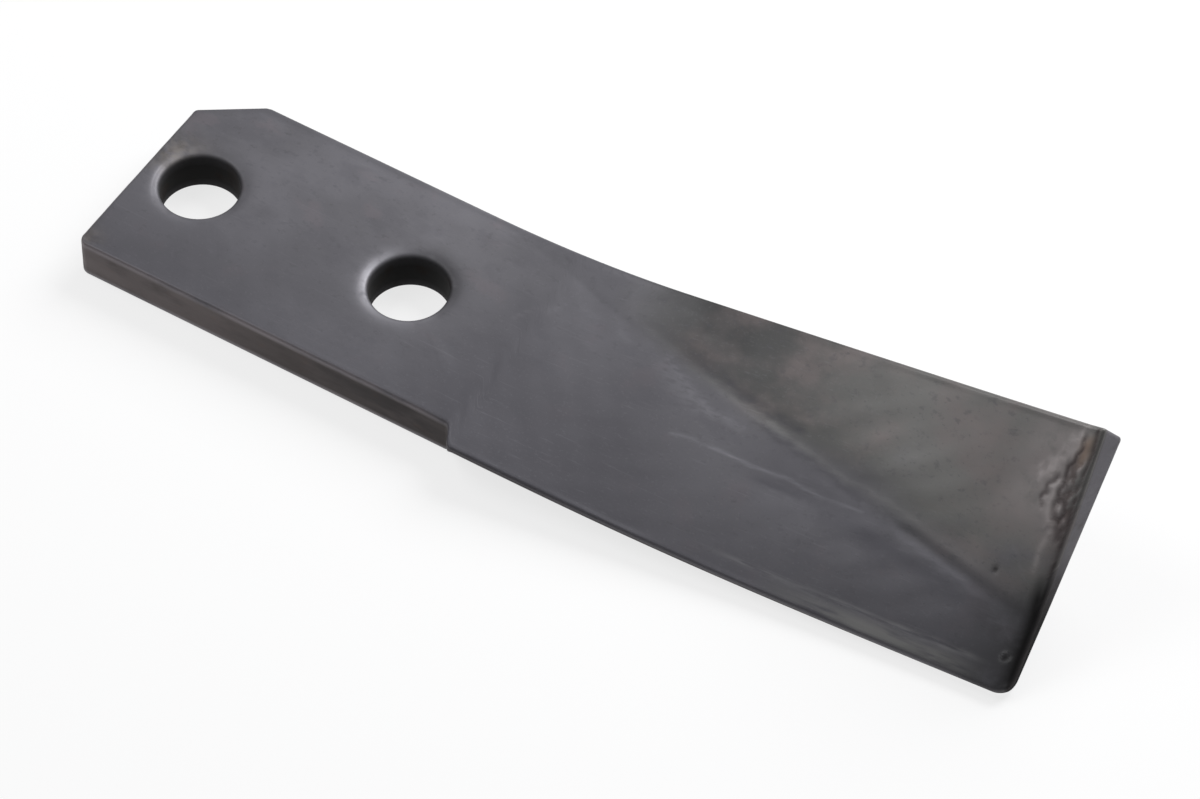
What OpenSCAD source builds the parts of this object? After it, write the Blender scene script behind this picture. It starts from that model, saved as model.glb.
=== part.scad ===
// Power harrow tine: one piece forged from flat spring steel.
// X runs from the bolted end to the tip, +Y is the thick back, +Z is up.
// The origin lies on the underside, midway between the two bolt holes.
// Below, s is the distance from the bolted end and w the share of the width, 0 at the cutting edge.

/* [Bar] */
// Width of the flat bar
bar_w = 80; // [70:1:95]
// Thickness of the flat bar
bar_t = 15; // [12:0.5:18]
// Length from the bolted end to the tip, along the cutting edge
length = 337; // [310:1:380]
// Radius left on the long edges of the bar
edge_r = 1.2; // [0.5:0.1:2.5]

/* [Bolted end] */
// Diameter of the bolt holes
hole_d = 26; // [18:0.5:30]
// Distance of the first hole from the end
hole_end = 20; // [18:0.5:26]
// Distance between the two holes
hole_pitch = 80; // [60:1:86]
// Radius that the punch leaves on the upper rim of a hole
rim_r = 2; // [0.5:0.1:3]
// Radius on the lower rim of a hole
under_rim_r = 1; // [0.3:0.1:2]
// Length of the cut corner along the bar
cut_l = 20; // [5:0.5:30]
// Width of the cut corner across the bar
cut_w = 13.5; // [4:0.5:18]

/* [Rising back] */
// Where the back starts to rise
rise_start = 107; // [100:1:125]
// Where the back has reached its full slope
rise_full = 184; // [150:1:230]
// Slope of the back beyond that point, in degrees
rise_a = 14.6; // [5:0.1:22]
// Thickness of the back at the tip
back_tip_t = 13; // [10:0.5:15]
// How far the tip's corner at the back stops short of the one at the edge
tip_skew = 3; // [0:0.5:10]

/* [Diagonal fold] */
// Where the fold meets the tip, measured from the cutting edge
fold_tip_w = 25; // [18:1:40]
// Thickness on the fold at the tip
fold_tip_t = 8; // [6.5:0.5:11]
// Share of the rise that the sole has taken up at the fold, at its start
fold_start_k = 0.4; // [0.2:0.05:1]
// The same share at the tip, where 1 is a plain twist
fold_tip_k = 0.9; // [0.5:0.05:1]

/* [Cutting edge] */
// Where the bar starts to be drawn down to the edge
edge_start = 140; // [125:1:160]
// Length of the shoulder at the edge, where the drawing down starts
shoulder_l = 6; // [3:0.5:15]
// How much longer the shoulder gets for each millimetre in from the edge
shoulder_fan = 0.4; // [0.2:0.1:2]
// Thickness of the edge past the shoulder
edge_t = 2.5; // [2:0.5:6]
// Thickness of the edge at the tip
edge_tip_t = 4.5; // [3:0.5:6]
// How far the steel spreads sideways for each millimetre that the edge is drawn up from below
edge_spread = 0.65; // [0:0.05:1]
// How far the edge runs in towards the back at the tip
edge_run_in = 9.4; // [0:0.1:16]
// How late the edge runs in, where 1 is a straight run
edge_run_in_k = 1.35; // [1:0.05:2]
// Radius of the tip's corner at the edge
tip_corner_r = 5; // [3:0.5:12]
// Radius on the end face of the tip
tip_r = 1; // [0.3:0.1:1.5]

/* [Bevel] */
// Width of the bevel
bevel_w = 35; // [22:1:38]
// Width of the bevel at the tip
bevel_tip_w = 22; // [14:1:24]
// Where the bevel's upper line starts to run in towards the tip's corner
bevel_turn = 288; // [240:1:300]
// Thickness on the bevel's inner line at the tip
ridge_tip_t = 7; // [6:0.5:8]
// Fullness of the bevel, where 1 is a flat one
bevel_full_k = 1.4; // [1:0.1:2.5]

/* [Hidden] */
// Length of a facet along the blade
step = 8;
// Sides of the true circles
round_fn = 64;
// Facets on each rounded edge
arc_n = 3;
// Overlap that a cutter has past a face
over = 1;

function clamp01(a) = min(1, max(0, a));
function mix(a, b, k) = a + (b - a) * k;
function unit(v) = v / norm(v);
// Quarter arc of radius r: how far it lies inside the edge, at distance d from the end
function arc_inset(d, r) = d >= r ? 0 : r - sqrt(r * r - (r - d) * (r - d));

// Nothing up to a, then a smooth bend of length l, then a straight slope of 1
function ramp(s, a, l) =
    s <= a ? 0 : s <= a + l ? pow(s - a, 2) / (2 * l) : s - a - l / 2;
// Height of the back's lower corner over the seat
function rise(s) = tan(rise_a) * ramp(s, rise_start, rise_full - rise_start);
// How far the blade has thinned, from 0 before the shoulder to 1 at the tip
thin_start = edge_start - 20;
thin_bend = 60;
function thin(s) = ramp(s, thin_start, thin_bend) / ramp(length, thin_start, thin_bend);

// Bevel: how much it takes off the thickness, and how much of that comes off the underside
function bevel_share(s) = lookup(s, [[bevel_turn, bevel_w], [length, bevel_tip_w]]) / bar_w;
function along(s) = clamp01((s - edge_start) / (length - edge_start));
// How far the bevel is drawn: quickly at the edge, and in a fan further in
function shoulder(s, w) =
    let (k = clamp01((s - edge_start) / (shoulder_l + shoulder_fan * w * bar_w)))
    k * k * (3 - 2 * k);
function bevel_cut(s, w) =
    (mix(bar_t, ridge_tip_t, thin(s)) - mix(edge_t, edge_tip_t, along(s)))
    * pow(max(0, 1 - w / bevel_share(s)), bevel_full_k) * shoulder(s, w);
function under(s, w) = (1 - along(s)) * bevel_cut(s, w);

// Plan of the cutting edge and of the back, as distances across from the bar's centre line
function spread(s) = edge_spread * under(s, 0);
function edge_y(s) =
    -bar_w / 2 - spread(s) + edge_run_in * pow(along(s), edge_run_in_k)
    + arc_inset(length - s, tip_corner_r);
function back_y(s) = bar_w / 2 - max(0, cut_w * (1 - s / cut_l));
function skew(s) = tip_skew * along(s);

// The fold runs from the back, where it starts to rise, to the tip near the edge
function fold_w(s) =
    min(0.9, mix(1, fold_tip_w / bar_w, (s - rise_start) / (length - rise_start)));
function fold_k(s) = lookup(s, [[rise_start, fold_start_k], [length, fold_tip_k]]);
function lift(s, w) =
    let (a = fold_w(s), k = fold_k(s))
    w < a ? k * w : mix(k * a, 1, (w - a) / (1 - a));

// Share of the width inside the spread, so that the spread steel lies in one plane with the rest
function inner_w(s, w) =
    let (wide = back_y(s) - edge_y(s)) (w * wide - spread(s)) / (wide - spread(s));

// Sole: the lower surface, which the drawn-down bar lies on
function sole(s, w) = [
    s - skew(s) * w,
    mix(edge_y(s), back_y(s), w),
    rise(s) * lift(s, inner_w(s, w))
];
// The direction square to the sole, taken from the plain twist without its fold
function twist(s, w) =
    [s - skew(s) * w, mix(edge_y(s), back_y(s), w), rise(s) * inner_w(s, w)];
function square_to_sole(s, w) =
    s <= rise_start ? [0, 0, 1]
    : let (d = 0.5, s0 = min(s, length - tip_corner_r - d))
      unit(cross(twist(s0 + d, w) - twist(s0 - d, w), twist(s0, 1) - twist(s0, 0)));

// Thickness: edge, bevel, its inner line, fold and back
function thick(s, w) =
    let (ridge = mix(bar_t, ridge_tip_t, thin(s)), fold = mix(bar_t, fold_tip_t, thin(s)),
         back = mix(bar_t, back_tip_t, thin(s)), b = bevel_share(s), a = fold_w(s))
    w < b ? ridge - bevel_cut(s, w)
    : w < a ? mix(ridge, fold, (w - b) / (a - b))
    : mix(fold, back, (w - a) / (1 - a));

// The ends are rounded too: the sections shrink over the last of the bar
function end_inset(s) = arc_inset(s, edge_r) + arc_inset(length - s, tip_r);
// One point of a section, at share w of the width; r is how far the rounded edge pulls it in
function point_at(s, w, up, r) =
    let (e = end_inset(s), wide = back_y(s) - edge_y(s), k = e / wide,
         w1 = k + w * (1 - 2 * k), t = thick(s, w1),
         z = under(s, w1) + (up ? t - e - r : e + r))
    sole(s, w1) + z * square_to_sole(s, w1);

// One long row of a section, from the cutting edge to the back, on the upper or the lower side
function row(s, up) =
    let (wide = back_y(s) - edge_y(s), b = bevel_share(s), a = fold_w(s), e = end_inset(s),
         r0 = min(edge_r, 0.4 * thick(s, 0)) - 0.8 * e, r1 = edge_r - 0.8 * e)
    concat(
        [for (i = [0:arc_n]) let (q = 90 * i / arc_n)
            point_at(s, max(0.1, r0) * (1 - cos(q)) / wide, up, max(0.1, r0) * (1 - sin(q)))],
        [for (k = [0.3, 0.53, 0.76, 1]) point_at(s, b * k, up, 0)],
        [for (k = [0.5, 1]) point_at(s, mix(b, a, k), up, 0)],
        [for (k = [0.25, 0.5, 0.75]) point_at(s, mix(a, 1, k), up, 0)],
        [for (i = [0:arc_n]) let (q = 90 - 90 * i / arc_n)
            point_at(s, 1 - max(0.1, r1) * (1 - cos(q)) / wide, up, max(0.1, r1) * (1 - sin(q)))]
    );
function section(s) =
    let (top = row(s, true), low = row(s, false), n = len(low))
    concat(top, [for (i = [n - 1:-1:0]) low[i]]);

// Stations along the bar: every change of form, and an even step between them
function sorted(v) =
    len(v) < 2 ? v
    : concat(sorted([for (x = v) if (x < v[0]) x]), [v[0]], sorted([for (x = v) if (x > v[0]) x]));
keys = concat(
    [for (i = [0:arc_n]) edge_r * (1 - cos(90 * i / arc_n))],
    [cut_l, rise_start, edge_start],
    [for (k = [0.25, 0.5, 0.75, 1, 2]) edge_start + k * shoulder_l],
    [rise_full, bevel_turn],
    [for (i = [0:arc_n]) length - tip_corner_r * (1 - sin(90 * i / arc_n))],
    [for (i = [0:arc_n - 1]) length - tip_r * (1 - cos(90 * i / arc_n))]
);
stations = sorted(concat(keys,
    [for (s = [rise_start + step:step:length - tip_corner_r - step / 4])
        if (min([for (k = keys) abs(k - s)]) > step / 4) s]));

// Skin between the sections, and one strip of facets across each end
function skin(rows, n) = concat(
    [for (j = [0:rows - 2], i = [0:n - 1])
        let (a = j * n + i, b = j * n + (i + 1) % n) [a, b, b + n]],
    [for (j = [0:rows - 2], i = [0:n - 1])
        let (a = j * n + i, b = j * n + (i + 1) % n) [a, b + n, a + n]]);
function cap(base, n, flip) = concat(
    [for (i = [0:n / 2 - 2]) let (f = [base + i, base + n - 1 - i, base + n - 2 - i])
        flip ? [f[0], f[2], f[1]] : f],
    [for (i = [0:n / 2 - 2]) let (f = [base + i, base + n - 2 - i, base + i + 1])
        flip ? [f[0], f[2], f[1]] : f]);

module forging() {
    n = len(section(0));
    points = [for (s = stations) each section(s)];
    translate([-hole_end - hole_pitch / 2, 0, 0])
        polyhedron(points, concat(skin(len(stations), n), cap(0, n, false),
                                  cap((len(stations) - 1) * n, n, true)));
}

// Straight bore with a rounded upper and lower rim
module rim(r) {
    rotate_extrude($fn = round_fn)
        translate([hole_d / 2 - over, -r])
            difference() {
                square([r + over, r + over]);
                translate([r + over, 0]) circle(r, $fn = round_fn);
            }
}
module bolt_hole() {
    translate([0, 0, -over]) cylinder(h = bar_t + 2 * over, d = hole_d, $fn = round_fn);
    translate([0, 0, bar_t]) rim(rim_r);
    mirror([0, 0, 1]) rim(under_rim_r);
}

module tine() {
    color("#5c5b5f")
        difference() {
            forging();
            for (side = [-1, 1])
                translate([side * hole_pitch / 2, 0, 0]) bolt_hole();
        }
}

tine();
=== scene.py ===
# %% [markdown]
# # A power harrow tine in Blender
#
# The real object is one forging. A length of flat spring steel is punched with two bolt holes,
# heated, and hammered into a twisted blade with a thin cutting edge. This lesson dresses the
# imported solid: it models the same form again with far more points, so that soft folds, rolled
# rims and torn flash are real geometry, and then gives it a skin of mill scale.

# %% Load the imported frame
import math

import bpy
import numpy as np
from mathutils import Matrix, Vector


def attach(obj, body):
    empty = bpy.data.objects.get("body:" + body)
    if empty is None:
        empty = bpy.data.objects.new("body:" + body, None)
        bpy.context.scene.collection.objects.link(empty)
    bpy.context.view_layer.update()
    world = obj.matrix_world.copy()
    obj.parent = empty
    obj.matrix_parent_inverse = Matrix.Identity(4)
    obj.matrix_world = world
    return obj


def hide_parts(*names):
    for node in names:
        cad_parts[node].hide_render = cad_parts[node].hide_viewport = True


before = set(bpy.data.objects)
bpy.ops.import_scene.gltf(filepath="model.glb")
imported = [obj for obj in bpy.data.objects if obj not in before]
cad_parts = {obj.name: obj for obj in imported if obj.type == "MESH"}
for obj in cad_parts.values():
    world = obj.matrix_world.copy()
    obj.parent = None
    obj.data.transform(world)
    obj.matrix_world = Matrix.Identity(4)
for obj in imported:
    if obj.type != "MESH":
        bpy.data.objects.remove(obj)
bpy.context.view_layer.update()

print("frame nodes:", sorted(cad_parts))

# %% [markdown]
# ## Sizes of the bar
#
# A smith works from a few sizes: the section of the bar, where each change of form starts, and how
# far it goes. They are kept together here in millimetres, measured from the bolted end, so that the
# picture and the solid tell the same story.

# %% Sizes in millimetres
BAR_W, BAR_T, LENGTH = 80.0, 15.0, 337.0
HOLE_R, HOLE_END, HOLE_PITCH = 13.0, 20.0, 80.0
RIM_TOP, RIM_UNDER = 2.0, 1.0
CUT_L, CUT_W = 20.0, 13.5
RISE_START, RISE_FULL, RISE_DEG = 107.0, 184.0, 14.6
BACK_TIP_T, TIP_SKEW = 13.0, 3.0
FOLD_TIP_W, FOLD_TIP_T, FOLD_START_K, FOLD_TIP_K = 25.0, 8.0, 0.4, 0.9
EDGE_START, SHOULDER, SHOULDER_FAN = 140.0, 6.0, 0.4
EDGE_T, EDGE_TIP_T, EDGE_SPREAD, EDGE_RUN_IN, EDGE_RUN_IN_K = 2.5, 4.5, 0.65, 9.4, 1.35
EDGE_R, TIP_CORNER_R, TIP_R, END_CORNER_R, SKIN = 1.2, 5.0, 1.0, 3.5, 0.05
BEVEL_W, BEVEL_TIP_W, BEVEL_TURN, BEVEL_K, RIDGE_TIP_T = 35.0, 22.0, 288.0, 1.4, 7.0
THIN_START, THIN_BEND = EDGE_START - 20, 60.0
ORIGIN = HOLE_END + HOLE_PITCH / 2
MM = 0.001
print("bar", BAR_W, "x", BAR_T, "mm, blade", LENGTH - EDGE_START, "mm long")

# %% [markdown]
# ## The form as functions
#
# The blade has no drawing of flat faces, so it is written as rules: how high the back has risen,
# where the edge runs in plan, how thick the steel is. A point is named by its distance s from the
# bolted end and its share w of the width, 0 at the cutting edge and 1 at the back. Numpy works the
# rules out for a whole grid at once.


# %% Rules for the plan, the rise and the fold
def steps(s, *pairs):
    return np.interp(s, [p[0] for p in pairs], [p[1] for p in pairs])


def ramp(s, start, bend):
    """Nothing up to start, then a smooth bend, then a straight slope of 1."""
    return np.square(np.clip(s - start, 0, bend)) / (2 * bend) + np.clip(s - start - bend, 0, None)


def rise(s):
    return math.tan(math.radians(RISE_DEG)) * ramp(s, RISE_START, RISE_FULL - RISE_START)


def along(s):
    return np.clip((s - EDGE_START) / (LENGTH - EDGE_START), 0, 1)


def arc_inset(d, r):
    d = np.clip(d, 0, r)
    return r - np.sqrt(np.clip(r * r - (r - d) ** 2, 0, None))


def back_y(s):
    return BAR_W / 2 - np.clip(CUT_W * (1 - s / CUT_L), 0, None)


def fold_w(s):
    return np.minimum(0.97, 1 + (FOLD_TIP_W / BAR_W - 1) * (s - RISE_START) / (LENGTH - RISE_START))


def lift(s, w, soft=0.03):
    """Share of the rise at w: two slopes that meet at the fold in a soft valley."""
    slope = steps(s, (RISE_START, FOLD_START_K), (LENGTH, FOLD_TIP_K))
    fold = fold_w(s)
    low, high = slope * w, 1 - (1 - w) * (1 - slope * fold) / (1 - fold)
    excess = 0.5 * (np.sqrt((1 - slope) ** 2 + soft**2) - (1 - slope))
    return 0.5 * (low + high + np.sqrt((low - high) ** 2 + soft**2)) - excess * w


def skew(s):
    return TIP_SKEW * along(s)


print("height of the back at the tip:", round(float(rise(LENGTH)), 1), "mm")

# %% [markdown]
# The thickness tells how the hammer moved the steel. The back keeps nearly the whole bar. Towards
# the edge a bevel is drawn down, at first wholly from below, so that the upper face runs on flat
# past the shoulder, and by the tip wholly from above. Steel that is drawn thin spreads sideways,
# which is why the edge flares out at the shoulder.


# %% Rules for the bevel, the thickness and the plan of the edge
def thin(s):
    return ramp(s, THIN_START, THIN_BEND) / ramp(LENGTH, THIN_START, THIN_BEND)


def bevel_w(s):
    return steps(s, (BEVEL_TURN, BEVEL_W), (LENGTH, BEVEL_TIP_W)) / BAR_W


def shoulder(s, w):
    """How far the bevel is drawn: quickly at the edge, and in a fan further in."""
    drawn = np.clip((s - EDGE_START) / (SHOULDER + SHOULDER_FAN * w * BAR_W), 0, 1)
    return drawn * drawn * (3 - 2 * drawn)


def bevel_cut(s, w):
    depth = BAR_T + (RIDGE_TIP_T - BAR_T) * thin(s) - EDGE_T - (EDGE_TIP_T - EDGE_T) * along(s)
    return depth * np.clip(1 - w / bevel_w(s), 0, 1) ** BEVEL_K * shoulder(s, w)


def under_cut(s, w):
    return (1 - along(s)) * bevel_cut(s, w)


def thick(s, w):
    ridge, fold, back = (BAR_T + (end - BAR_T) * thin(s) for end in (RIDGE_TIP_T, FOLD_TIP_T, BACK_TIP_T))
    from_w, to_w = bevel_w(s), fold_w(s)
    in_tongue = ridge + (fold - ridge) * np.clip((w - from_w) / np.maximum(to_w - from_w, 0.01), 0, 1)
    in_back = fold + (back - fold) * np.clip((w - to_w) / (1 - to_w), 0, 1)
    return np.where(w < from_w, ridge - bevel_cut(s, w), np.where(w < to_w, in_tongue, in_back))


def spread(s):
    return EDGE_SPREAD * under_cut(s, 0 * s)


def edge_y(s):
    run_in = EDGE_RUN_IN * along(s) ** EDGE_RUN_IN_K
    corners = arc_inset(LENGTH - s, TIP_CORNER_R) + arc_inset(s, END_CORNER_R)
    return -BAR_W / 2 - spread(s) + run_in + corners


def inner_w(s, w):
    """Share of the width inside the spread, so that the spread steel lies in one plane with the rest."""
    wide = back_y(s) - edge_y(s)
    return (w * wide - spread(s)) / (wide - spread(s))


def sole(s, w, folded=True):
    height = rise(s) * (lift(s, inner_w(s, w)) if folded else inner_w(s, w))
    return np.stack([s - skew(s) * w, edge_y(s) + (back_y(s) - edge_y(s)) * w, height], -1)


def square_to_sole(s, w):
    """Unit direction at right angles to the sole, with the fold left out."""
    s0 = np.minimum(s, LENGTH - TIP_CORNER_R - 0.5)
    lengthwise = sole(s0 + 0.5, w, False) - sole(s0 - 0.5, w, False)
    crosswise = sole(s0, w * 0 + 1, False) - sole(s0, w * 0, False)
    upright = np.cross(lengthwise, crosswise)
    return upright / np.linalg.norm(upright, axis=-1, keepdims=True)


print("thickness across the middle of the blade:", np.round(thick(240.0, np.linspace(0, 1, 6)), 1))

# %% [markdown]
# ## Hammer marks
#
# A forged face is never quite flat. Slow waves left by the dies are modelled as a sum of sines with
# seeded directions, which is smooth, cheap and the same on every run. They only ever cut into the
# solid, so the dressed piece stays inside its measured size.

# %% Seeded waves
WAVE_SPREAD, WAVE_DAMPING = (0.6, 1.4), 2.2
seeds = np.random.default_rng(11)


def make_waves(length_mm, count=9):
    """Returns smooth noise from 0 to 1 with features of about length_mm, for points in millimetres."""
    turns = seeds.normal(size=(count, 3))
    turns *= (2 * math.pi / length_mm * seeds.uniform(*WAVE_SPREAD, count)
              / np.linalg.norm(turns, axis=1))[:, None]
    starts = seeds.uniform(0, 2 * math.pi, count)

    def waves(p):
        total = sum(np.sin(p @ turn + start) for turn, start in zip(turns, starts))
        return np.clip(0.5 + total / (WAVE_DAMPING * math.sqrt(count)), 0, 1)
    return waves


slow_waves, short_waves, ragged_waves = make_waves(34.0), make_waves(11.0), make_waves(9.0)
fine_waves, other_waves = make_waves(4.5), make_waves(5.5)
print("slow waves at three points:", np.round(slow_waves(np.eye(3) * 40), 2))

# %% [markdown]
# ## Stations and lanes
#
# The skin is a grid. Stations cross the bar and lanes run along it. Both are packed more closely at
# the rounded edges, and the stations also at the shoulder and over the last of the tip.


# %% Grid lines
def spaced(parts):
    """Joins (start, end, spacing) stretches into one rising list of values."""
    values = [np.linspace(a, b, max(2, int(round((b - a) / d)) + 1))[:-1] for a, b, d in parts]
    return np.concatenate(values + [[parts[-1][1]]])


LANES, ROUND_POINTS = 100, 6
arc = np.radians(np.linspace(0, 90, ROUND_POINTS))
stations = np.concatenate([
    EDGE_R * (1 - np.cos(arc[:-1])),
    spaced([(EDGE_R, 4, 0.45), (4, 132, 1.7), (132, 156, 0.8), (156, 308, 1.3), (308, 321, 0.7),
            (321, LENGTH - TIP_R, 0.42)])[:-1],
    LENGTH - TIP_R + TIP_R * np.sin(arc),
])
lanes = np.linspace(0, 1, LANES + 2)[1:-1]
print(len(stations), "stations and", len(lanes), "lanes")

# %% [markdown]
# ## Marks in the upper face
#
# Marks that stand in the steel are added to the thickness before it is turned into points. Each is
# a weight from 0 to 1 over the face: the groove of the fold and the streaks beside it, the ragged
# line above the bevel, the flat band along the edge, and the lap that the dies tore along the tip.
# The same weights later tell the finish where to change, so colour and form agree; the finish also
# lays painted shade in the hollow marks and painted highlights on the raised lines and on the band.

# %% Distances on the face
def bump_line(d, width):
    return np.exp(-np.square(d / width))


def across(s, w):
    """Millimetres from the cutting edge, measured across the bar."""
    return w * (back_y(s) - edge_y(s))


def fold_distance(s, w):
    return across(s, w) - across(s, fold_w(s))


def near_path(s, w, width, path):
    """Weight of a drawn line through (s, w) places, as wide as a scratch of that width."""
    x, y = s, across(s, w)
    nearest = np.full(np.broadcast(x, y).shape, np.inf)
    for (s0, w0), (s1, w1) in zip(path, path[1:]):
        ax, ay = s0, float(across(s0, w0))
        dx, dy = s1 - s0, float(across(s1, w1)) - ay
        t = np.clip(((x - ax) * dx + (y - ay) * dy) / (dx * dx + dy * dy), 0, 1)
        nearest = np.minimum(nearest, np.hypot(x - ax - t * dx, y - ay - t * dy))
    return bump_line(nearest, width)


print("from the edge to the fold at mid blade:", round(float(across(240.0, fold_w(240.0))), 1), "mm")

# %% [markdown]
# Most marks are lines. A line is written as a hand would draw it: how strong it is, which course it
# keeps, how wide it is, where along the bar it fades, and the few places that it runs through. A
# plain course is smooth, an eased or ragged one trembles with the waves, and a torn one breaks up.

# %% Lines along the fold and above the bevel
EVERYWHERE = ((0, 1),)
GROOVE_FADE = ((170, 0), (196, 0.6), (236, 1), (262, 1), (280, 0.45), (298, 0.1), (304, 0))
CREST_FADE = ((188, 0), (206, 0.35), (222, 1), (272, 1), (285, 0.7), (318, 0.2))
RIDGE_FADE = ((204, 0.3), (222, 0.75), (236, 1), (258, 1), (263, 0.5), (267, 1), (273, 0.5), (278, 0))
LINES = {
    # weight, extra weight in patches, course, width in mm, fade along s, places (s, w)
    # groove: a real dip along the fold, also darkened in the finish as painted shade
    "groove": [
        (1, 0, "ragged", 1.1, GROOVE_FADE,
         ((226, 0.630), (239, 0.596), (252, 0.558), (266, 0.503), (282, 0.459), (295, 0.425))),
        (1, 0, "ragged", 1.3, GROOVE_FADE,
         ((168, 0.86), (186, 0.83), (201, 0.772), (219, 0.710), (235, 0.668), (242, 0.65)))],
    # crest, streak, ridge and ridge_end are small raised lines that the finish also lightens as painted
    # highlights
    "crest": [
        (1, 0, "eased", 0.85, CREST_FADE,
         ((186, 0.79), (203, 0.735), (218, 0.680), (228, 0.659), (243, 0.611), (260, 0.553),
          (272, 0.529), (285, 0.499), (298, 0.449), (316, 0.40)))],
    "streak": [
        (0.9, 0, "ragged", 1.5, EVERYWHERE,
         ((189, 0.745), (194, 0.70), (203, 0.632), (213, 0.592), (223, 0.590))),
        (0.6, 0, "plain", 3.5, EVERYWHERE, ((190, 0.70), (200, 0.64), (206, 0.60))),
        (0.7, 0, "ragged", 0.8, EVERYWHERE, ((248, 0.494), (254, 0.501), (258, 0.494))),
        (0.5, 0, "plain", 0.8, EVERYWHERE, ((239, 0.392), (249, 0.390))),
        (0.35, 0, "plain", 1.0, EVERYWHERE,
         ((136, 0.586), (142, 0.70), (148.4, 0.788), (159.4, 0.776))),
        (0.35, 0, "plain", 0.8, EVERYWHERE, ((169, 0.763), (175, 0.736))),
        (0.45, 0, "eased", 0.45, EVERYWHERE, ((322, 0.514), (325, 0.486), (327, 0.439), (330, 0.411))),
        (0.5, 0, "plain", 0.6, EVERYWHERE, ((333, 0.421), (329, 0.414)))],
    "ridge": [
        (1, 0, "eased", 0.55, RIDGE_FADE,
         ((204, 0.446), (212, 0.459), (246, 0.457), (256, 0.441), (272, 0.444)))],
    "ridge_end": [
        (1, 0, "ragged", 1.0, ((280, 0.4), (292, 1), (306, 1), (320, 0.3)),
         ((280, 0.449), (288, 0.402), (301, 0.366), (320, 0.302)))],
    # under_ridge is a slight dip below the ridge that the finish darkens as painted shade
    "under_ridge": [
        (1, 0, "plain", 1.0, ((232, 0), (238, 1), (250, 0.6), (256, 0)), ((232, 0.410), (256, 0.412))),
        (1, 0, "plain", 3.0, ((255, 0), (275, 1), (300, 1), (320, 0.4)),
         ((255, 0.40), (288, 0.345), (320, 0.25)))],
}
print(len(LINES), "kinds of line along the blade")

# %% Lines of the torn tip
LINES |= {
    "flash": [
        (0, 1, "torn", 2.4, EVERYWHERE, ((332.6, 0.86), (332.4, 0.80), (332.8, 0.73), (334.0, 0.65)))],
    "warm": [
        (1, 0, "plain", 1.9, EVERYWHERE, ((333.2, 0.93), (333.2, 0.88)))],
    "torn": [
        (0.35, 0.5, "plain", 0.6, EVERYWHERE,
         ((335.0, 0.985), (335.8, 0.893), (335.1, 0.80), (335.4, 0.73), (335.8, 0.644), (336.0, 0.519),
          (336.0, 0.44))),
        (0.9, 0, "torn", 1.05, EVERYWHERE,
         ((332, 0.926), (330.6, 0.885), (330, 0.826), (330, 0.756), (332, 0.691), (333, 0.62),
          (335, 0.606))),
        (0.72, 0, "torn", 0.7, EVERYWHERE,
         ((329.6, 0.763), (327.2, 0.786), (326.2, 0.803), (325.7, 0.765), (325, 0.72), (326.2, 0.69)))],
    # small raised lines inside the torn flash, lightened in the finish as a painted highlight
    "raised_tip_highlight": [
        (0, 1, "torn", 1.7, EVERYWHERE,
         ((331, 0.965), (330, 0.945), (328.5, 0.87), (324.5, 0.83), (322.5, 0.775))),
        (1, 0, "torn", 0.9, EVERYWHERE, ((334.0, 0.84), (333.6, 0.81))),
        (0.8, 0, "torn", 1.4, EVERYWHERE, ((327.6, 0.745), (328.5, 0.70), (330.5, 0.64))),
        (0.5, 0, "plain", 1.0, EVERYWHERE, ((331.5, 0.60), (330.5, 0.53), (331, 0.46)))],
    # notch: a real groove 0.9 mm deep beside the tip's end, filled near black in the finish as painted
    # shadow
    "notch": [
        (1, 0, "ragged", 1.5, EVERYWHERE,
         ((334.6, 0.436), (335.0, 0.38), (335.6, 0.30), (335.8, 0.22), (336.0, 0.134), (336.4, 0.05)))],
}
BURR_S, BURR_IN, BURR_R, BURR_W = 332.5, 9.2, 1.4, 0.55
PIT_S, PIT_IN, PIT_R = 319.3, 29.9, 0.8
BAND_W, TIP_SHADE_REACH = 6.4, 26.0
print("places of all lines:", sum(len(row[-1]) for rows in LINES.values() for row in rows))

# %% Weights of every mark
EASED, RAGGED = (0.009, 0.004), (0.014, 0.012)
TORN_ALONG, TORN_ACROSS = 2.2, 0.05


def courses(s, w, p):
    """The same places as a smooth, a trembling or a torn line meets them."""
    ragged, fine = ragged_waves(p) - 0.5, fine_waves(p) - 0.5
    return {
        "plain": (s, w),
        "eased": (s, w + EASED[0] * ragged + EASED[1] * fine),
        "ragged": (s, w + RAGGED[0] * ragged + RAGGED[1] * fine),
        "torn": (s + TORN_ALONG * fine, w + TORN_ACROSS * (other_waves(p) - 0.5)),
    }


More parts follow.
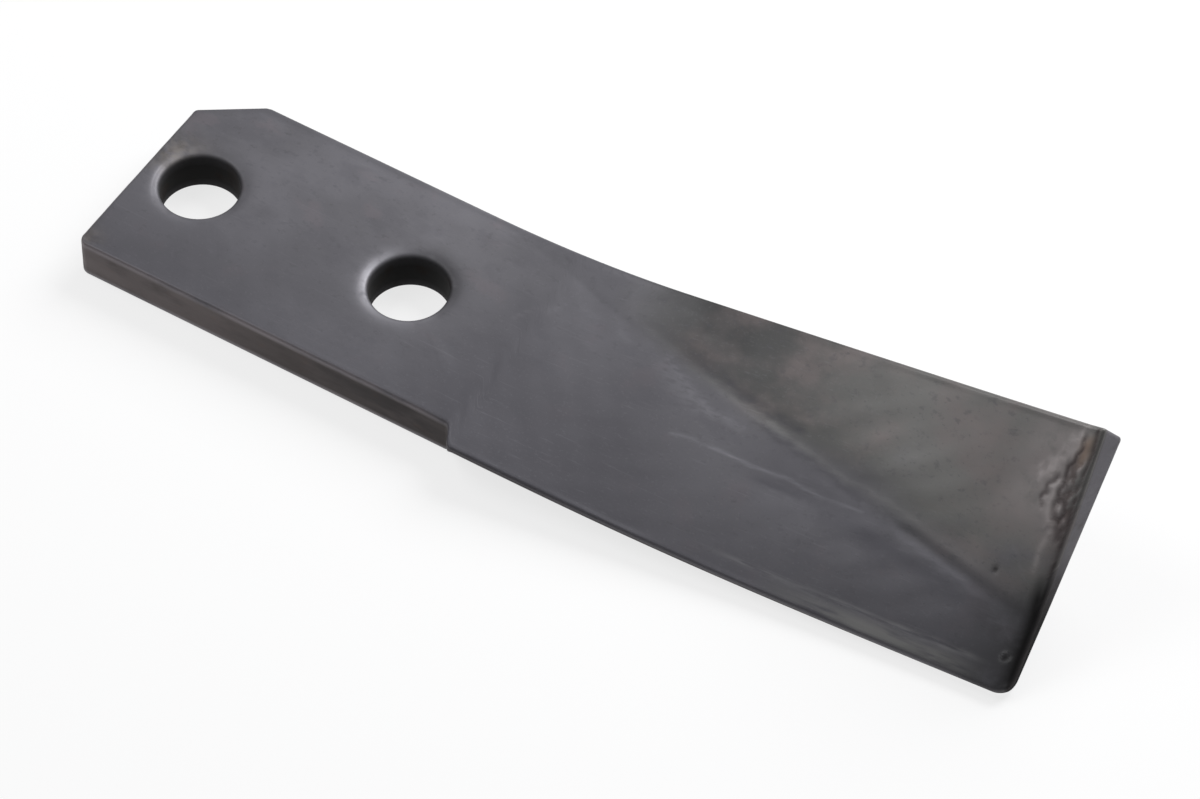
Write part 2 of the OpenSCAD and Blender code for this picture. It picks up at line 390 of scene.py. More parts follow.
def marks(s, w):
    """Weights from 0 to 1 of the marks in the upper face."""
    to_edge = across(s, w)
    p = np.stack([s, to_edge, 0 * s], -1)
    ragged = ragged_waves(p) - 0.5
    patches = np.clip(0.2 + 1.6 * other_waves(p * 1.7), 0, 1)
    course = courses(s, w, p)
    weights = {name: np.maximum.reduce([
        (solid + patchy * patches) * steps(s, *fade) * near_path(*course[kept], width, path)
        for solid, patchy, kept, width, fade, path in rows]) for name, rows in LINES.items()}
    weights["notch"] *= steps(w, (0.36, 1), (0.45, 0))
    from_burr = np.hypot(s - BURR_S, to_edge - BURR_IN)
    from_pit = np.hypot(s - PIT_S, to_edge - PIT_IN)
    return weights | {
        # tongue weights a painted shade between the ridge and the fold
        "tongue": steps(s, (222, 0), (240, 1), (268, 1), (290, 0))
        * steps(w, (0.37, 0), (0.44, 1), (0.57, 1), (0.66, 0)),
        # fold_side weights a painted shade in a band beside the fold
        "fold_side": steps(s, (215, 0), (235, 1), (275, 0.8), (300, 0.3), (322, 0))
        * bump_line(fold_distance(s, w) - 5.5, 6.0),
        # band weights a flat raised band along the edge that the finish lightens as a painted highlight
        "band": steps(s, (250, 0), (285, 1), (316, 1), (322, 0.6), (330, 0))
        * steps(to_edge, (0.6, 0), (1.6, 1), (3.4, 1), (6.0, 0)),
        "band_line": steps(s, (232, 0), (244, 0.6), (262, 0.4), (280, 0.7), (322, 1), (329, 0))
        * bump_line(to_edge - BAND_W - 0.6 * ragged, 0.8),
        # lip weights a painted highlight where the upper face rolls over at the tip
        "lip": steps(w, (0.50, 0), (0.68, 1), (0.93, 1), (0.99, 0.4))
        * steps(s, (309, 0), (321, 1), (331, 1), (334, 0)),
        # painted shade over the near half of the last of the tip, darkest at the end
        "painted_tip_shade": steps(w, (0.0, 1), (0.3, 0.8), (0.5, 0))
        * np.clip(1 - (LENGTH - s + 4 * ragged) / TIP_SHADE_REACH, 0, 1) ** 1.2,
        # tip_edge weights a painted shade over the shine of the tip's rounded end
        "tip_edge": steps(s, (LENGTH - 1.5, 0), (LENGTH - 0.6, 1))
        * steps(w, (0.36, 1), (0.50, 0.35), (0.8, 0.2)),
        "burr": (0.35 + 0.65 * fine_waves(p * 2)) * bump_line(from_burr - BURR_R, BURR_W),
        "pit": np.maximum(bump_line(from_pit, PIT_R), 0.8 * bump_line(from_burr, BURR_R / 2)),
    }


print("marks:", ", ".join(marks(np.array([LENGTH / 2]), np.array([0.5]))))

# %% Height of the marks in millimetres
RELIEF = {
    "groove": -0.14, "crest": 0.05, "streak": 0.02, "ridge": 0.05, "ridge_end": 0.05,
    "under_ridge": -0.06, "band": 0.12, "band_line": -0.06, "flash": -0.3, "warm": 0.1,
    "torn": -0.25, "raised_tip_highlight": 0.12, "notch": -0.9, "burr": 0.2, "pit": -0.35,
}
print("deepest mark:", min(RELIEF.values()), "mm")

# %% [markdown]
# One function makes both faces. It places the stations and lanes, bends the lanes round the four
# rounded edges, and lifts the points off the sole by the thickness. The upper face also takes the
# marks. Close to the risen back they are held down, because the back is the highest line of all.

# %% Upper and lower face of the grid
WORN_SLOW, WORN_SHORT, WORN_UNDER = 0.22, 0.1, 0.8
SMOOTHING, THINNEST_R, CORNER_MELT = 2, 0.15, 0.8
RIM_SHARE, RIM_FADE, WEAR_GAIN = 0.01, 60, 2.5


def smooth(grid, passes):
    for _ in range(passes):
        padded = np.pad(grid, 1, mode="edge")
        grid = (padded[1:-1, 1:-1] * 2 + padded[:-2, 1:-1] + padded[2:, 1:-1]
                + padded[1:-1, :-2] + padded[1:-1, 2:]) / 6
    return grid


def face_points(upper):
    """Grid of points with rounded corners: xyz in millimetres, s, w and the wear of the corners."""
    s = stations[:, None]
    wide = back_y(s) - edge_y(s)
    ends = arc_inset(s, EDGE_R) + arc_inset(LENGTH - s, TIP_R)
    r0 = np.maximum(THINNEST_R, np.minimum(EDGE_R, 0.4 * thick(s, 0 * s)) - CORNER_MELT * ends)
    r1 = np.maximum(THINNEST_R, EDGE_R - CORNER_MELT * ends)
    w_near, up_near = r0 * (1 - np.cos(arc)) / wide, r0 * (1 - np.sin(arc))
    w_far, up_far = 1 - r1 * (1 - np.cos(arc)) / wide, r1 * (1 - np.sin(arc))
    lane_w = w_near[:, -1:] + (w_far[:, -1:] - w_near[:, -1:]) * lanes
    w = np.concatenate([w_near, lane_w, w_far[:, ::-1]], 1)
    drop = np.concatenate([up_near, 0 * lane_w, up_far[:, ::-1]], 1)
    margin = ends / wide
    w = margin + w * (1 - 2 * margin)
    s = np.broadcast_to(s, w.shape)
    body, base = smooth(thick(s, w), SMOOTHING), smooth(under_cut(s, w), SMOOTHING)
    plan = np.stack([s, across(s, w), 0 * s], -1)
    worn = WORN_SLOW * slow_waves(plan) + WORN_SHORT * short_waves(plan)
    inner = np.clip((w - RIM_SHARE) * RIM_FADE, 0, 1) * np.clip((1 - RIM_SHARE - w) * RIM_FADE, 0, 1)
    wear = np.clip((drop + ends) / EDGE_R * WEAR_GAIN, 0, 1)
    wear = wear * steps(s, (120, 1), (150, 0.2)) * steps(w, (0.3, 1), (0.7, 0.1))
    if upper:
        weights = marks(s, w)
        relief = sum(weights[name] * height for name, height in RELIEF.items())
        highest = steps(w, (0.85, 0.25), (0.97, -0.08))
        height = base + body - drop - ends - SKIN + inner * np.minimum(relief - worn, highest)
    else:
        height = base + drop + ends + inner * worn * WORN_UNDER
    return sole(s, w) + height[..., None] * square_to_sole(s, w), s, w, wear


top, grid_s, grid_w, grid_wear = face_points(True)
low = face_points(False)[0]
print("grid of", top.shape[:2], "points on each face")

# %% [markdown]
# The finish also changes over whole areas: the flank beyond the fold, with painted shade along
# the fold and a painted sheen towards the tip, the nearer side, darkened as painted shade, a painted
# shade along the far edge of the shank, the sheared sides of the bar, stains at the bolted end and
# painted shade over the last of the tip. Every point carries the weights of these areas as named
# values, which the material reads later.

# %% Weights of the areas
def face_areas(s, w):
    from_fold, from_edge = fold_distance(s, w), across(s, w)
    return {
        "flank": steps(s, (160, 0), (215, 1)) * steps(from_fold, (-3, 0), (7, 1)),
        # flank_start weights a painted shade where the far flank leaves the fold
        "flank_start": steps(s, (168, 0), (196, 1), (225, 0.85), (275, 0))
        * steps(from_fold, (0, 0), (4, 1)),
        # flank_tip weights a painted sheen on the far flank towards the tip
        "flank_tip": steps(s, (240, 0), (285, 1)) * steps(from_fold, (4.8, 0), (20.8, 1)),
        # near and near_blade weight the painted shade on the nearer side of the bar and of the blade's
        # start
        "near": steps(w, (0, 1), (0.75, 0)),
        "near_blade": steps(w, (0, 1), (1.3, 0)) * steps(s, (108, 0), (140, 1), (190, 0.8), (222, 0)),
        # far_edge weights a painted shade over the shine of the shank's rounded far edge
        "far_edge": steps(w, (0.95, 0), (0.975, 1)) * steps(s, (80, 1), (110, 0)),
        "smudge": np.maximum(bump_line(np.hypot(s - 7, from_edge - 46.5), 7.5),
                             0.5 * bump_line(np.hypot(s - 3, from_edge - 3), 4.0)),
    }


def side_areas(s, w, side):
    return {
        "side_pale": side * steps(s, (0, 1), (50, 0.6), (110, 0)) * (s > EDGE_R),
        "side_far": side * steps(s, (30, 0), (120, 1)),
        "side_tip": side * (s > LENGTH - 1.2 * TIP_R) * steps(w, (0.2, 0), (0.45, 0.7), (0.8, 1)),
        # side_tip_shade weights painted shade on the sides near the tip's cutting edge
        "side_tip_shade": side * steps(s, (LENGTH - 22, 0), (LENGTH - 6, 1))
        * steps(w, (0.1, 1), (0.3, 0.75), (0.55, 0)),
    }


print("areas:", ", ".join(face_areas(120.0, 0.5)), "and", ", ".join(side_areas(120.0, 0.5, 1.0)))

# %% Points and quads
PLACED = ("side", "bore", "wear", "rim", "shade")
vertices, faces = [], []
tags = {"bar_mm": []}


def add_points(points, s, w, under=0.0, **placed):
    """Adds points with the weights that the finish needs. The caller gives those that are placed."""
    points, s, w = points.reshape(-1, 3), np.ravel(s), np.ravel(w)
    first = len(vertices)
    vertices.extend((points - [ORIGIN, 0, 0]) * MM)
    tags["bar_mm"].extend(np.stack([s, across(s, w), points[:, 2]], -1))
    placed = {name: np.ravel(placed.get(name, 0.0)) + 0.0 * s for name in PLACED}
    upper_only = 1.0 - np.clip(under + placed["side"] + placed["bore"], 0, 1)
    on_face = {name: weight * upper_only for name, weight in (marks(s, w) | face_areas(s, w)).items()}
    for name, weight in (on_face | placed | side_areas(s, w, placed["side"])).items():
        tags.setdefault(name, []).extend(weight)
    return np.arange(first, first + len(s))


def add_quads(a, b, flip=False):
    """Joins two closed rows of equal length with quads."""
    for i in range(len(a)):
        j = (i + 1) % len(a)
        quad = (a[i], a[j], b[j], b[i])
        faces.append(quad[::-1] if flip else quad)


def in_mm(row):
    return np.array([vertices[k] for k in row]) / MM + [ORIGIN, 0, 0]


def plan_to_grid(x, y):
    return x, (y - edge_y(x)) / (back_y(x) - edge_y(x))


print("each point carries", len(marks(np.zeros(1), np.zeros(1))), "marks")

# %% [markdown]
# ## Punched holes
#
# A punch drives through hot steel and drags the rim in after it, so the upper rim is rolled over and
# the face around it is dished. Each hole is a patch of rings that starts on a block of the grid and
# closes in to a true circle, which keeps the shading clean all round. Besides the light and shade that
# the dish catches, one side of a rolled rim gets a painted highlight and the other a painted shade,
# more so on the hole nearer to the blade.

# %% Ring patches
HOLES = (
    # centre, half length of its block in the grid, strength of the painted highlight and shade on its rim
    (HOLE_END, 18.0, 0.45),
    (HOLE_END + HOLE_PITCH, 26.0, 1.0),
)
BLOCK_HALF_W, BLOCK_PAST = 26.0, 4.0
DISH_DEPTH, DISH_REACH, DISH_IN_RIM = 0.45, 1.4, 0.4
GLOW_REACH, SHADE_REACH, SHADE_TURN, BORE_IN_RIM = 2.0, 2.6, 60.0, 0.8
RING_SHARES = (0.86, 0.72, 0.58, 0.46, 0.35, 0.26, 0.18, 0.11, 0.05)
RIM_TURNS = np.radians([90, 72, 54, 36, 18, 0])


def punch(index, block, hole_s, upper, painted_light):
    """Fills one block of a face with rings round a hole and returns the ring on the bore's wall."""
    j0, j1, i0, i1 = block
    loop = np.concatenate([
        index[j0:j1, i0], index[j1, i0:i1], index[j1:j0:-1, i1], index[j0, i1:i0:-1]])
    rim = in_mm(loop)
    face_z = BAR_T if upper else 0.0
    rim_r, dish = (RIM_TOP, DISH_DEPTH) if upper else (RIM_UNDER, 0.0)
    angle = np.arctan2(rim[:, 1], rim[:, 0] - hole_s)
    unit = np.stack([np.cos(angle), np.sin(angle)], -1)
    centre = np.array([hole_s, 0.0])
    start = centre + unit * (HOLE_R + rim_r)
    reach = np.linalg.norm(rim[:, :2] - start, axis=1)
    away = rim[:, 2] - (sole(*plan_to_grid(rim[:, 0], rim[:, 1]))[:, 2] + face_z)
    # rim carries a painted highlight on the side of the rim facing the lamps, shade a painted shade on
    # the side turned away
    turned_away = np.clip(np.cos(angle - math.radians(SHADE_TURN)), 0, 1) if upper else 0.0

    def ring(xy, drop, blend, bore, rolled, shade):
        s, w = plan_to_grid(xy[:, 0], xy[:, 1])
        points = sole(s, w) + face_z * square_to_sole(s, w)
        points[:, 2] += away * blend + (-drop if upper else drop)
        return add_points(points, s, w, under=0.0 if upper else 1.0, bore=bore,
                          rim=painted_light * rolled * (1 - turned_away), shade=painted_light * turned_away * shade)

    rings = [loop]
    for share in RING_SHARES:
        far = reach * share
        rings.append(ring(
            start + (rim[:, :2] - start) * share, drop=dish * np.exp(-far / DISH_REACH) * (1 - share),
            blend=share, bore=0.0, rolled=np.exp(-far / GLOW_REACH), shade=np.exp(-far / SHADE_REACH)))
    for turn in RIM_TURNS:
        rings.append(ring(
            centre + unit * (HOLE_R + rim_r * (1 - math.cos(turn))),
            drop=dish + (rim_r - dish * DISH_IN_RIM) * (1 - math.sin(turn)),
            blend=0.0, bore=math.cos(turn) ** 3 * BORE_IN_RIM, rolled=math.sin(turn), shade=1.0))
    for outer, inner in zip(rings, rings[1:]):
        add_quads(outer, inner, flip=not upper)
    return rings[-1]


print("rings ready for holes of", 2 * HOLE_R, "mm")

# %% [markdown]
# Now the pieces of the skin are sewn together: two faces with a gap at each hole, the walls of the
# bores, and one band round the outside that closes the thickness.

# %% Sew the two faces
top_index = add_points(top, grid_s, grid_w, wear=grid_wear).reshape(grid_s.shape)
low_index = add_points(low, grid_s, grid_w, under=1.0, wear=grid_wear).reshape(grid_s.shape)


def nearest(values, *wanted):
    return [int(np.argmin(abs(values - v))) for v in wanted]


blocks = []
for hole_s, reach, _ in HOLES:
    j0, j1 = nearest(stations, hole_s - reach, hole_s + reach + BLOCK_PAST)
    i0, i1 = nearest(grid_w[j0 + 2], 0.5 - BLOCK_HALF_W / BAR_W, 0.5 + BLOCK_HALF_W / BAR_W)
    blocks.append((j0, j1, i0, i1))
    print("hole at", hole_s, "mm takes stations", j0, "to", j1, "and lanes", i0, "to", i1)

for index, flip in ((top_index, False), (low_index, True)):
    for j in range(index.shape[0] - 1):
        for i in range(index.shape[1] - 1):
            if not any(a <= j < b and c <= i < d for a, b, c, d in blocks):
                quad = (index[j, i], index[j + 1, i], index[j + 1, i + 1], index[j, i + 1])
                faces.append(quad[::-1] if flip else quad)
print(len(faces), "quads on the two faces")

# %% Walls of the bores and the band round the outside
def add_wall(upper, under, rows, flip=False, grid=None, **placed):
    """Closes the gap between two loops with rows of quads. A bore finds s and w from the plan."""
    start, end = in_mm(upper), in_mm(under)
    previous = upper
    for share in np.arange(1, rows) / rows:
        points = start + (end - start) * share
        s, w = grid or plan_to_grid(points[:, 0], points[:, 1])
        row = add_points(points, s, w, **placed)
        add_quads(previous, row, flip)
        previous = row
    add_quads(previous, under, flip)


def outline(index):
    return np.concatenate([index[:-1, 0], index[-1, :-1], index[:0:-1, -1], index[0, :0:-1]])


BORE_ROWS, SIDE_ROWS = 4, 8
for block, (hole_s, _, painted_light) in zip(blocks, HOLES):
    upper = punch(top_index, block, hole_s, True, painted_light)
    under = punch(low_index, block, hole_s, False, painted_light)
    add_wall(upper, under, BORE_ROWS, bore=1.0)
add_wall(outline(top_index), outline(low_index), SIDE_ROWS, flip=True,
         grid=(outline(grid_s), outline(grid_w)), side=1.0)
print(len(vertices), "points and", len(faces), "faces")

# %% Make the mesh object
mesh = bpy.data.meshes.new("forged_tine")
mesh.from_pydata([tuple(v) for v in vertices], [], [tuple(int(k) for k in f) for f in faces])
for name, values in tags.items():
    kind, field = ("FLOAT_VECTOR", "vector") if name == "bar_mm" else ("FLOAT", "value")
    layer = mesh.attributes.new(name, kind, "POINT")
    layer.data.foreach_set(field, np.array(values, dtype="f").ravel())
mesh.validate()
mesh.shade_smooth()
tine = bpy.data.objects.new("forged_tine", mesh)
bpy.context.scene.collection.objects.link(tine)
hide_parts("tine")
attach(tine, "root")
print("triangles:", sum(len(p.vertices) - 2 for p in mesh.polygons))

# %% [markdown]
# ## Forged spring steel under mill scale
#
# Hot steel grows a thin skin of iron oxide as it cools. The skin is blue-grey where it is whole and
# browner where it was rubbed or sheared; the bores of the punched holes are painted nearly black as
# painted shade. It is neither a bare metal nor a paint, so the shader mixes a little metal into a
# dull dark surface, and the grain of the scale and the marks of the dies break up the shine.


# %% Helpers for materials
def linear(hex_colour):
    """sRGB hex to the linear colour that Blender wants."""
    parts = [int(hex_colour[i:i + 2], 16) / 255 for i in (1, 3, 5)]
    return [c / 12.92 if c <= 0.04045 else ((c + 0.055) / 1.055) ** 2.4 for c in parts] + [1.0]


def add_node(tree, kind, inputs, output=0, **settings):
    """Adds one node. Inputs are values or other nodes' outputs; returns the output that is asked for."""
    node = tree.nodes.new(kind)
    for name, value in settings.items():
        setattr(node, name, value)
    for key, value in inputs.items():
        if isinstance(value, bpy.types.NodeSocket):
            tree.links.new(value, node.inputs[key])
        else:
            node.inputs[key].default_value = value
    return node.outputs[output] if len(node.outputs) else node


print("linear value of #5f5e62:", [round(c, 3) for c in linear("#5f5e62")[:3]])

# %% [markdown]
# The finish is a list of coats, laid over the ground colour one after another. Each coat has a
# colour, the weight that says where it may lie, the size of its grain along and across the bar in
# millimetres, and the stretch of the noise in which it fades in. A coat can also make the surface
# duller, and raise or lower it a little. Real grain in mill scale is a few hundredths of a
# millimetre; the finest noise here starts at 0.9 mm, as coarse as it needs to be to show.

# %% Coats of the finish
GROUND, GROUND_ROUGHNESS, METALLIC = "#605f64", 0.47, 0.45
COATS = [
    # colour, weight, (along, across), fades in from, to, most, duller by, relief in mm
    ("#6b6a70", None, (42, 26), 0.40, 0.62, 0.60, 0.03, 0.0),
    ("#55545a", None, (17, 10), 0.50, 0.68, 0.45, 0.05, -0.02),
    ("#6c6469", None, (15, 12), 0.56, 0.68, 0.30, 0.02, 0.0),
    # painted shade: the nearer side of the bar, and of the blade's start, laid darker
    ("#4b4a50", "near", (70, 40), 0.10, 0.30, 0.75, 0.02, 0.0),
    ("#424147", "near_blade", (50, 30), 0.05, 0.30, 0.95, 0.02, 0.0),
    ("#656561", "flank", (30, 20), 0.25, 0.50, 0.70, -0.02, 0.0),
    # painted shade in the fold where the far flank starts
    ("#3a3a3b", "flank_start", (30, 14), 0.05, 0.45, 0.95, 0.04, 0.0),
    # painted sheen: the far flank laid lighter towards the tip
    ("#6c6b6a", "flank_tip", (40, 20), 0.05, 0.35, 0.75, 0.0, 0.0),
    # painted shade in a band beside the fold
    ("#4a4a49", "fold_side", (18, 7), 0.10, 0.50, 0.62, 0.04, 0.0),
    ("#786d6d", "flank", (24, 17), 0.40, 0.70, 0.48, 0.02, 0.0),
    ("#4c4b50", None, (3.2, 2.2), 0.56, 0.72, 0.35, 0.06, -0.015),
    ("#7a797e", None, (1.1, 0.9), 0.56, 0.72, 0.11, -0.03, 0.008),
    ("#48474a", None, (1.5, 1.2), 0.62, 0.72, 0.30, 0.05, -0.025),
    ("#7d7c82", None, (26, 0.9), 0.60, 0.72, 0.11, -0.03, 0.004),
    ("#78716a", "smudge", (8, 6), 0.35, 0.55, 0.70, 0.08, 0.0),
    ("#3a3532", "smudge", (6, 4.5), 0.38, 0.60, 0.75, 0.08, 0.0),
    # painted shade laid over the shine of the shank's rounded far edge
    ("#4c4b50", "far_edge", (20, 8), 0.05, 0.40, 0.30, 0.08, 0.0),
    # painted highlight on the side of each rolled rim that faces the lamps
    ("#86858b", "rim", (6, 4), 0.20, 0.55, 0.60, -0.11, 0.0),
    # painted shade on the side of each rim turned away from the lamps
    ("#2c2b2e", "shade", (8, 6), 0.15, 0.50, 0.62, 0.06, 0.0),
    # painted shade in the groove of the fold, over its real dip of 0.14 mm
    ("#3f3e44", "groove", (7, 2), 0.28, 0.60, 0.60, 0.06, 0.0),
    # painted highlights: the crest, streak, ridge and ridge_end lines laid lighter than the face
    ("#7a7978", "crest", (9, 2), 0.30, 0.62, 0.38, -0.02, 0.0),
    ("#79787e", "streak", (5, 1.8), 0.34, 0.60, 0.42, -0.02, 0.0),
    ("#8a8990", "ridge", (12, 2), 0.24, 0.54, 0.66, -0.02, 0.0),
    ("#74737a", "ridge_end", (7, 1.6), 0.30, 0.56, 0.40, -0.02, 0.0),
    # painted shade on the tongue between the ridge and the fold
    ("#47464c", "tongue", (30, 12), 0.12, 0.48, 0.55, 0.02, 0.0),
    # painted shade on the dip below the ridge
    ("#45444b", "under_ridge", (22, 5), 0.20, 0.50, 0.60, 0.04, 0.0),
    # painted highlight on the flat band along the cutting edge
    ("#828280", "band", (20, 3), 0.25, 0.52, 0.60, -0.04, 0.0),
    ("#828284", "band_line", (16, 1.6), 0.34, 0.54, 0.65, -0.05, 0.0),
    # painted highlight where the tip's upper face rolls over to the end
    ("#868080", "lip", (9, 9), 0.20, 0.50, 0.75, -0.03, 0.0),
    # painted highlight along the inside of the torn flash
    ("#9d9797", "raised_tip_highlight", (4, 3), 0.22, 0.55, 0.75, -0.03, 0.0),
    ("#4d4342", "flash", (3, 3), 0.25, 0.55, 0.85, 0.05, -0.02),
    ("#84746a", "warm", (4, 4), 0.10, 0.40, 0.90, 0.05, 0.0),
    ("#3a3031", "torn", (2.5, 2.5), 0.22, 0.55, 0.85, 0.15, -0.03),
    # painted shade over the near half of the tip
    ("#2f2f30", "painted_tip_shade", (9, 7), 0.15, 0.55, 0.95, 0.25, 0.0),
    # painted shadow in the notch beside the tip's end
    ("#141314", "notch", (5, 5), 0.10, 0.36, 0.98, 0.20, 0.0),
    # painted shade over the shine of the tip's rounded end
    ("#1c1b1c", "tip_edge", (9, 4), 0.05, 0.45, 0.90, 0.45, 0.0),
    ("#858586", "burr", (1.5, 1.5), 0.35, 0.60, 0.60, -0.02, 0.0),
    ("#201f20", "pit", (2, 2), 0.10, 0.40, 0.95, 0.20, 0.0),
    # brown scale of the sheared sides, laid darker than the scale itself as painted shade, and darker
    # still towards the blade
    ("#4b4241", "side", (60, 30), 0.10, 0.35, 1.00, 0.06, 0.0),
    ("#322d2e", "side", (30, 8), 0.40, 0.60, 0.70, 0.06, 0.0),
    ("#5a4a44", "side", (9, 6), 0.58, 0.70, 0.50, 0.08, -0.02),
    ("#6b6363", "side_pale", (20, 8), 0.20, 0.50, 0.70, 0.0, 0.0),
    ("#231e1e", "side_far", (25, 8), 0.20, 0.60, 0.75, 0.05, 0.0),
    ("#67656b", "side_tip", (12, 8), 0.20, 0.50, 0.85, 0.0, 0.0),
    # painted shade on the sides near the tip's cutting edge
    ("#0c0c0d", "side_tip_shade", (12, 8), 0.05, 0.30, 1.00, 0.45, 0.0),
    ("#857d7f", "wear", (14, 5), 0.15, 0.62, 0.60, -0.03, 0.0),
    # painted shade: the bores laid nearly black, with a brown tint in the next coat
    ("#0a0808", "bore", (30, 20), 0.05, 0.30, 1.00, 0.35, 0.0),
    ("#241b17", "bore", (10, 8), 0.52, 0.66, 0.60, 0.10, -0.02),
]
print(len(COATS), "coats")

# %% Build the steel
GRAIN_DETAIL, GRAIN_ROUGHNESS, GRAIN_SHIFT = 4.0, 0.55, (7.3, 3.1)
steel = bpy.data.materials.new("forged_spring_steel_mill_scale")
steel.use_nodes = True
tree = steel.node_tree
tree.nodes.clear()
bar = add_node(tree, "ShaderNodeAttribute", {}, "Vector", attribute_name="bar_mm")
weight = {name: add_node(tree, "ShaderNodeAttribute", {}, "Fac", attribute_name=name)
          for name in tags if name != "bar_mm"}
colour = linear(GROUND)
roughness, relief = GROUND_ROUGHNESS, 0.0
for number, (paint, where, grain_mm, fade_from, fade_to, most, duller, height) in enumerate(COATS):
    length_mm, width_mm = grain_mm
    place = add_node(tree, "ShaderNodeVectorMath", {
        0: bar, 1: (1 / length_mm, 1 / width_mm, 1 / width_mm)}, operation="MULTIPLY")
    place = add_node(tree, "ShaderNodeVectorMath", {
        0: place, 1: (GRAIN_SHIFT[0] * number, GRAIN_SHIFT[1] * number, 0)}, operation="ADD")
    grain = add_node(tree, "ShaderNodeTexNoise", {
        "Vector": place, "Scale": 1.0, "Detail": GRAIN_DETAIL, "Roughness": GRAIN_ROUGHNESS}, "Fac")
    amount = add_node(tree, "ShaderNodeMapRange", {
        "Value": grain, "From Min": fade_from, "From Max": fade_to, "To Max": most},
        interpolation_type="SMOOTHSTEP")
    if where:
        amount = add_node(tree, "ShaderNodeMath", {0: amount, 1: weight[where]}, operation="MULTIPLY")
    colour = add_node(tree, "ShaderNodeMix", {
        0: amount, 6: colour, 7: linear(paint)}, 2, data_type="RGBA")
    roughness = add_node(tree, "ShaderNodeMath", {
        0: amount, 1: duller, 2: roughness}, operation="MULTIPLY_ADD")
    if height:
        relief = add_node(tree, "ShaderNodeMath", {
            0: amount, 1: height, 2: relief}, operation="MULTIPLY_ADD")
print("steel has", len(tree.nodes), "nodes")

# %% [markdown]
# The relief of the coats is in millimetres, so the bump's distance is one millimetre. The last
# node is the surface itself: metallic at 0.45, because the oxide hides about half of the metal.

# %% Surface of the steel
bump = add_node(tree, "ShaderNodeBump", {"Height": relief, "Strength": 1.0, "Distance": MM})
surface = add_node(tree, "ShaderNodeBsdfPrincipled", {
    "Base Color": colour, "Metallic": METALLIC, "Roughness": roughness, "Normal": bump})
add_node(tree, "ShaderNodeOutputMaterial", {"Surface": surface})
tine.data.materials.append(steel)
print("material", steel.name, "is on", tine.name)

# %% [markdown]
# ## Floor, light and camera
#
# The tine lies on a plain white floor under soft lamps, as spare parts are photographed. The
# strongest lamp stands behind and to the right, so faces that lean to the front fall off into grey.
# The floor is white paper. What the camera sees of it is mixed with plain white, so that it reads as
# a white background and still keeps the shadow of the tine; the light that it bounces is its own.

# %% Floor
WHITE_SHARE, FLOOR_HALF = 0.75, 4.0
corners = [(x * FLOOR_HALF, y * FLOOR_HALF, 0) for x, y in ((-1, -1), (1, -1), (1, 1), (-1, 1))]
floor_mesh = bpy.data.meshes.new("floor")
floor_mesh.from_pydata(corners, [], [(0, 1, 2, 3)])
floor = bpy.data.objects.new("floor", floor_mesh)
bpy.context.scene.collection.objects.link(floor)


def white_to_the_eye(tree):
    """1 for rays that show the background: seen straight, in a gloss or through glass."""
    rays = add_node(tree, "ShaderNodeLightPath", {}, "Is Camera Ray")
    for kind in ("Is Glossy Ray", "Is Transmission Ray"):
        more = add_node(tree, "ShaderNodeLightPath", {}, kind)
        rays = add_node(tree, "ShaderNodeMath", {0: rays, 1: more}, operation="ADD", use_clamp=True)
    return rays


paper = bpy.data.materials.new("white_paper")
paper.use_nodes = True
sheet = paper.node_tree
sheet.nodes.clear()
lit = add_node(sheet, "ShaderNodeBsdfPrincipled", {"Base Color": linear("#ececed"), "Roughness": 0.9})
plain = add_node(sheet, "ShaderNodeEmission", {"Color": (1, 1, 1, 1), "Strength": 1.0})
share = add_node(sheet, "ShaderNodeMath", {
    0: white_to_the_eye(sheet), 1: WHITE_SHARE}, operation="MULTIPLY")
mixed = add_node(sheet, "ShaderNodeMixShader", {0: share, 1: lit, 2: plain})
add_node(sheet, "ShaderNodeOutputMaterial", {"Surface": mixed})
floor_mesh.materials.append(paper)
print("floor is", 2 * FLOOR_HALF, "m wide")

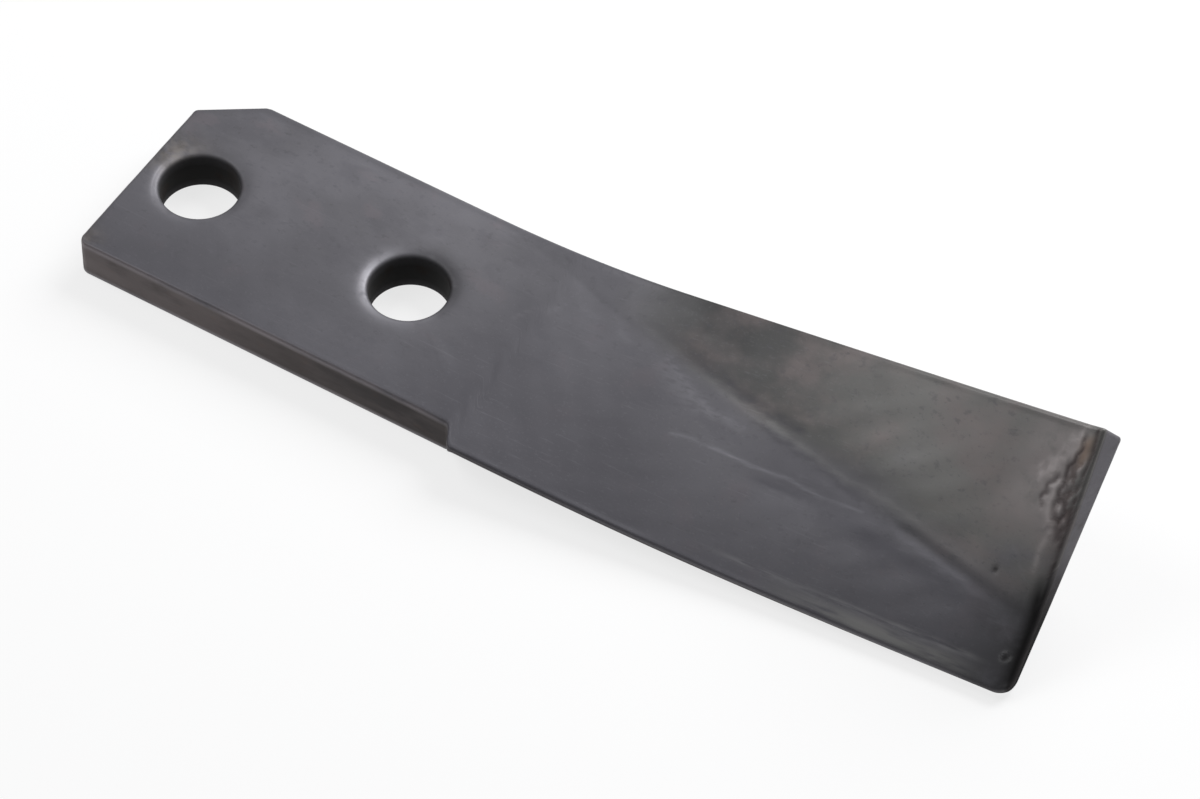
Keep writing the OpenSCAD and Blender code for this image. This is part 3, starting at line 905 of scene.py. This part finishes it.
# %% Lamps and world
WORLD_STRENGTH, LAMP_AIM = 0.22, Vector((0.1, 0, 0))
world = bpy.data.worlds.new("studio")
bpy.context.scene.world = world
world.use_nodes = True
sky = world.node_tree
sky.nodes.clear()
glow = add_node(sky, "ShaderNodeBackground", {"Color": (1, 1, 1, 1), "Strength": WORLD_STRENGTH})
add_node(sky, "ShaderNodeOutputWorld", {"Surface": glow})


def direction(azimuth, elevation):
    """Unit direction from the tine. Azimuth 0 is the front, 90 the tip's side."""
    turn, tilt = math.radians(azimuth), math.radians(elevation)
    return Vector((math.sin(turn) * math.cos(tilt), -math.cos(turn) * math.cos(tilt), math.sin(tilt)))


def place_facing(piece, target, way, distance):
    """Puts a lamp or camera at a distance from the target, looking back at it."""
    piece.location = target + way * distance
    piece.rotation_euler = way.to_track_quat("Z", "Y").to_euler()
    bpy.context.scene.collection.objects.link(piece)


def softbox(name, azimuth, elevation, distance, size, watts):
    """Square lamp that looks at the middle of the tine."""
    lamp = bpy.data.lights.new(name, "AREA")
    lamp.shape, lamp.size, lamp.energy = "SQUARE", size, watts
    place_facing(bpy.data.objects.new(name, lamp), LAMP_AIM, direction(azimuth, elevation), distance)


softbox("back_lamp", azimuth=168, elevation=40, distance=1.0, size=0.7, watts=13.3)
softbox("left_lamp", azimuth=-75, elevation=50, distance=1.6, size=0.9, watts=9)
print("lamps:", len(bpy.data.lights))

# %% Camera
VIEW_AZIMUTH, VIEW_ELEVATION, VIEW_DISTANCE = 32.22, 50.19, 2.1729
FOCAL_PX, FRAME_PX, SENSOR = 6973.0, 1200, 36.0
CAMERA_AIM = Vector((0.1159, -0.0072, 0.015))
lens = bpy.data.cameras.new("camera")
lens.sensor_width, lens.lens = SENSOR, FOCAL_PX / FRAME_PX * SENSOR
camera = bpy.data.objects.new("camera", lens)
place_facing(camera, CAMERA_AIM, direction(VIEW_AZIMUTH, VIEW_ELEVATION), VIEW_DISTANCE)
bpy.context.scene.camera = camera
bpy.context.scene.view_settings.view_transform = "Standard"
print("lens", round(lens.lens, 1), "mm")
